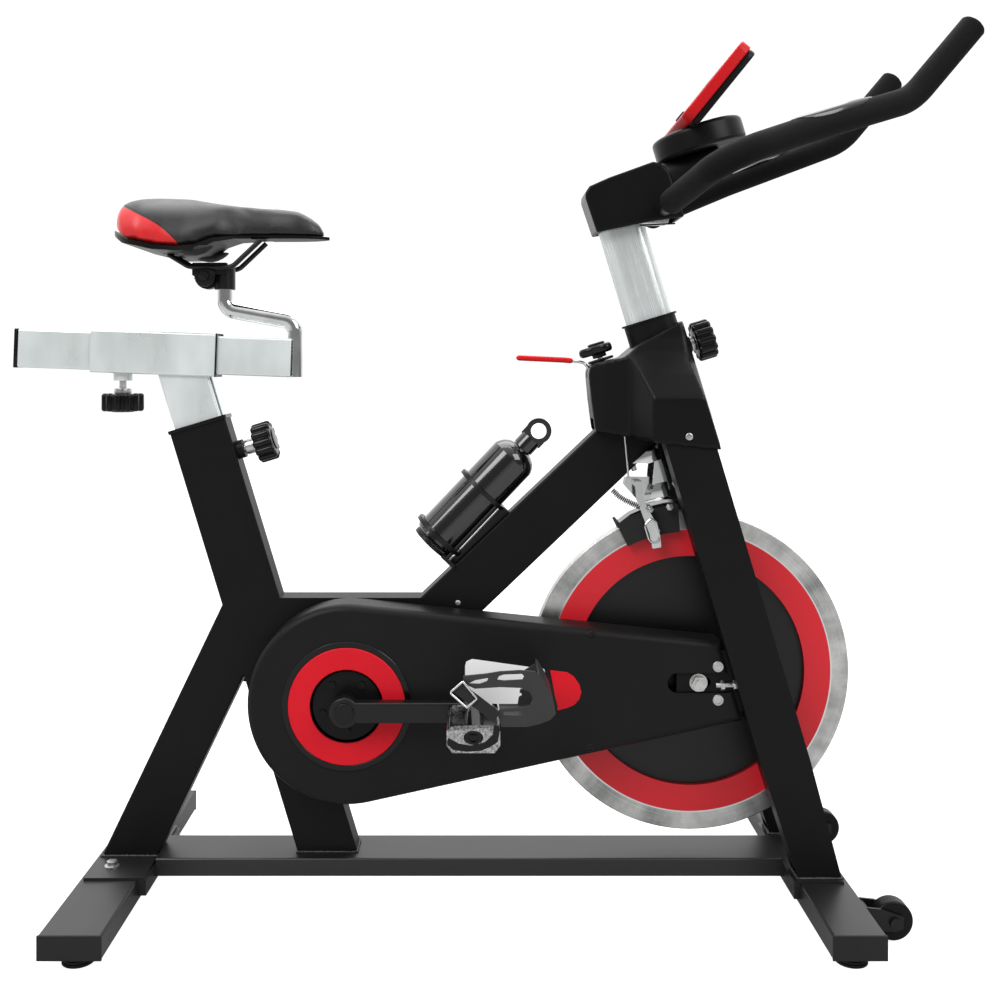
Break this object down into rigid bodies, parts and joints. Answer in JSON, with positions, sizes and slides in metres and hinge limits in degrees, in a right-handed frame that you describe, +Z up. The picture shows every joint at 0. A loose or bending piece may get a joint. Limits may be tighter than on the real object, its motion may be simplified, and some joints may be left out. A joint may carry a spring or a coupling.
{
  "type": "indoor spin bike",
  "caption": "Indoor spin bike: leaning posts on a steel frame, rim-braked flywheel behind a guard, looped bars with a console, sliding saddle, toe-cage pedals and a bottle.",
  "frame": {"origin": "centre of the bike's footprint box, on the floor under the feet", "axes": "+X towards the front of the bike, +Y to the rider's left, +Z up"},
  "size_m": [1.2984, 0.5201, 1.1839],
  "materials": {
    "frame_paint": "satin black powder coat",
    "stabilizer_paint": "satin grey powder coat",
    "black_plastic": "fine moulded texture",
    "red_plastic": "smooth red",
    "red_grip": "dipped vinyl",
    "rubber": "matt",
    "foam": "closed-cell foam",
    "zinc_steel": "zinc plated",
    "chrome": "polished",
    "satin_silver": "brushed",
    "black_steel": "black",
    "flywheel_iron": "painted disc with a turned rim",
    "pedal_body": "grey resin",
    "brake_felt": "felt-faced",
    "saddle_leather": "smooth synthetic leather",
    "bottle_gloss": "gloss black"
  },
  "bodies": {
    "root": {"main_beam": "frame_paint", "seat_tube": "frame_paint", "rear_leg": "frame_paint", "top_tube": "frame_paint", "down_tube": "frame_paint", "bottom_bracket": "frame_paint", "head_tube": "frame_paint", "post_bushes": "black_plastic", "fork_legs": "frame_paint", "stabilizers": "stabilizer_paint", "stabilizer_plates": "frame_paint", "stabilizer_end_caps": "black_plastic", "rubber_feet": "rubber", "frame_bolts": "zinc_steel", "brake_bracket": "frame_paint", "bearings": "zinc_steel", "flywheel_axle": "zinc_steel", "drive_belt": "rubber", "guard_outer_cover": "black_plastic", "guard_inner_cover": "black_plastic", "guard_trim_ring": "red_plastic", "head_shroud_right": "black_plastic", "head_shroud_left": "black_plastic", "wheel_brackets": "frame_paint", "bottle_cage": "black_steel"},
    "seat_post": {"seat_post": "chrome", "slider_sleeve": "satin_silver"},
    "saddle_slider": {"saddle_slider": "satin_silver", "saddle_stem": "chrome", "saddle_clamp": "black_steel"},
    "saddle": {"saddle_rails": "black_steel", "saddle_base": "black_plastic", "saddle_cushion": "saddle_leather"},
    "bar_post": {"bar_post": "chrome", "bar_housing": "black_plastic", "handlebar": "black_steel", "foam_grips": "foam", "console_mount": "black_plastic", "console": "black_plastic"},
    "console_button": {"console_button": "rubber"},
    "flywheel": {"flywheel": "flywheel_iron", "flywheel_pulley": "black_steel"},
    "crank": {"crank_axle": "black_steel", "crank_pulley": "black_steel", "crank_arms": "black_steel"},
    "pedal_right": {"pedal_right": "pedal_body", "toe_cage_right": "black_plastic"},
    "pedal_left": {"pedal_left": "pedal_body", "toe_cage_left": "black_plastic"},
    "tension_knob": {"tension_knob": "black_plastic"},
    "brake_arm": {"brake_arm": "chrome", "brake_pad": "brake_felt"},
    "brake_lever": {"brake_lever": "red_grip"},
    "seat_pull_knob": {"seat_pull_knob": "black_plastic"},
    "bar_pull_knob": {"bar_pull_knob": "black_plastic"},
    "slider_knob": {"slider_knob": "black_plastic"},
    "transport_wheel_right": {"transport_wheel_right": "black_plastic"},
    "transport_wheel_left": {"transport_wheel_left": "black_plastic"},
    "bottle": {"bottle": "bottle_gloss"},
    "bottle_cap": {"bottle_cap": "black_plastic"}
  },
  "joints": [
    {"name": "seat_height", "type": "slide", "parent": "root", "child": "seat_post", "axis": [-0.2924, 0, 0.9563], "range_m": [-0.05, 0.11]},
    {"name": "seat_fore_aft", "type": "slide", "parent": "seat_post", "child": "saddle_slider", "axis": [0.9993, 0, -0.0366], "range_m": [-0.08, 0.08]},
    {"name": "saddle_tilt", "type": "hinge", "parent": "saddle_slider", "child": "saddle", "pos_m": [-0.381, 0, 0.8575], "axis": [0, 1, 0], "range_deg": [-12, 12]},
    {"name": "bar_height", "type": "slide", "parent": "root", "child": "bar_post", "axis": [-0.2924, 0, 0.9563], "range_m": [-0.02, 0.07]},
    {"name": "console_button_press", "type": "slide", "parent": "bar_post", "child": "console_button", "axis": [0.7771, 0, -0.6293], "range_m": [0, 0.0015], "stiffness_N_per_m": 400},
    {"name": "flywheel_spin", "type": "hinge", "parent": "root", "child": "flywheel", "pos_m": [0.295, 0, 0.307], "axis": [0, 1, 0], "continuous": true},
    {"name": "crank_spin", "type": "hinge", "parent": "root", "child": "crank", "pos_m": [-0.1775, 0, 0.276], "axis": [0, 1, 0], "continuous": true},
    {"name": "pedal_right_spin", "type": "hinge", "parent": "crank", "child": "pedal_right", "pos_m": [-0.0075, -0.16, 0.276], "axis": [0, 1, 0], "continuous": true},
    {"name": "pedal_left_spin", "type": "hinge", "parent": "crank", "child": "pedal_left", "pos_m": [-0.3475, 0.16, 0.276], "axis": [0, 1, 0], "continuous": true},
    {"name": "tension_knob_turn", "type": "hinge", "parent": "root", "child": "tension_knob", "pos_m": [0.171, 0, 0.744], "axis": [-0.2924, 0, 0.9563], "range_deg": [0, 720]},
    {"name": "brake_arm_lift", "type": "hinge", "parent": "root", "child": "brake_arm", "pos_m": [0.276, 0, 0.57], "axis": [0, 1, 0], "range_deg": [0, 3.6]},
    {"name": "emergency_brake", "type": "hinge", "parent": "root", "child": "brake_lever", "pos_m": [0.158, 0, 0.7255], "axis": [0, 1, 0], "range_deg": [0, 12], "stiffness_Nm_per_rad": 0.6},
    {"name": "seat_pin_pull", "type": "slide", "parent": "root", "child": "seat_pull_knob", "axis": [0.9563, 0, 0.2924], "range_m": [0, 0.012], "stiffness_N_per_m": 600},
    {"name": "bar_pin_pull", "type": "slide", "parent": "root", "child": "bar_pull_knob", "axis": [0.9563, 0, 0.2924], "range_m": [0, 0.012], "stiffness_N_per_m": 600},
    {"name": "slider_clamp_turn", "type": "hinge", "parent": "seat_post", "child": "slider_knob", "pos_m": [-0.501, 0, 0.68], "axis": [0, 0, 1], "range_deg": [0, 720]},
    {"name": "transport_wheel_right_spin", "type": "hinge", "parent": "root", "child": "transport_wheel_right", "pos_m": [0.527, -0.146, 0.0265], "axis": [0, 1, 0], "continuous": true},
    {"name": "transport_wheel_left_spin", "type": "hinge", "parent": "root", "child": "transport_wheel_left", "pos_m": [0.527, 0.146, 0.0265], "axis": [0, 1, 0], "continuous": true},
    {"name": "bottle_lift", "type": "slide", "parent": "root", "child": "bottle", "axis": [0.6884, 0, 0.7254], "range_m": [0, 0.045]},
    {"name": "bottle_cap_turn", "type": "hinge", "parent": "bottle", "child": "bottle_cap", "pos_m": [0.06859, 0, 0.62452], "axis": [0.6884, 0, 0.7254], "range_deg": [0, 720]}
  ],
  "couplings": [
    {"joint": "crank_spin", "follows": "flywheel_spin", "ratio": 0.35454},
    {"joint": "brake_arm_lift", "follows": "tension_knob_turn", "ratio": 0.005}
  ]
}
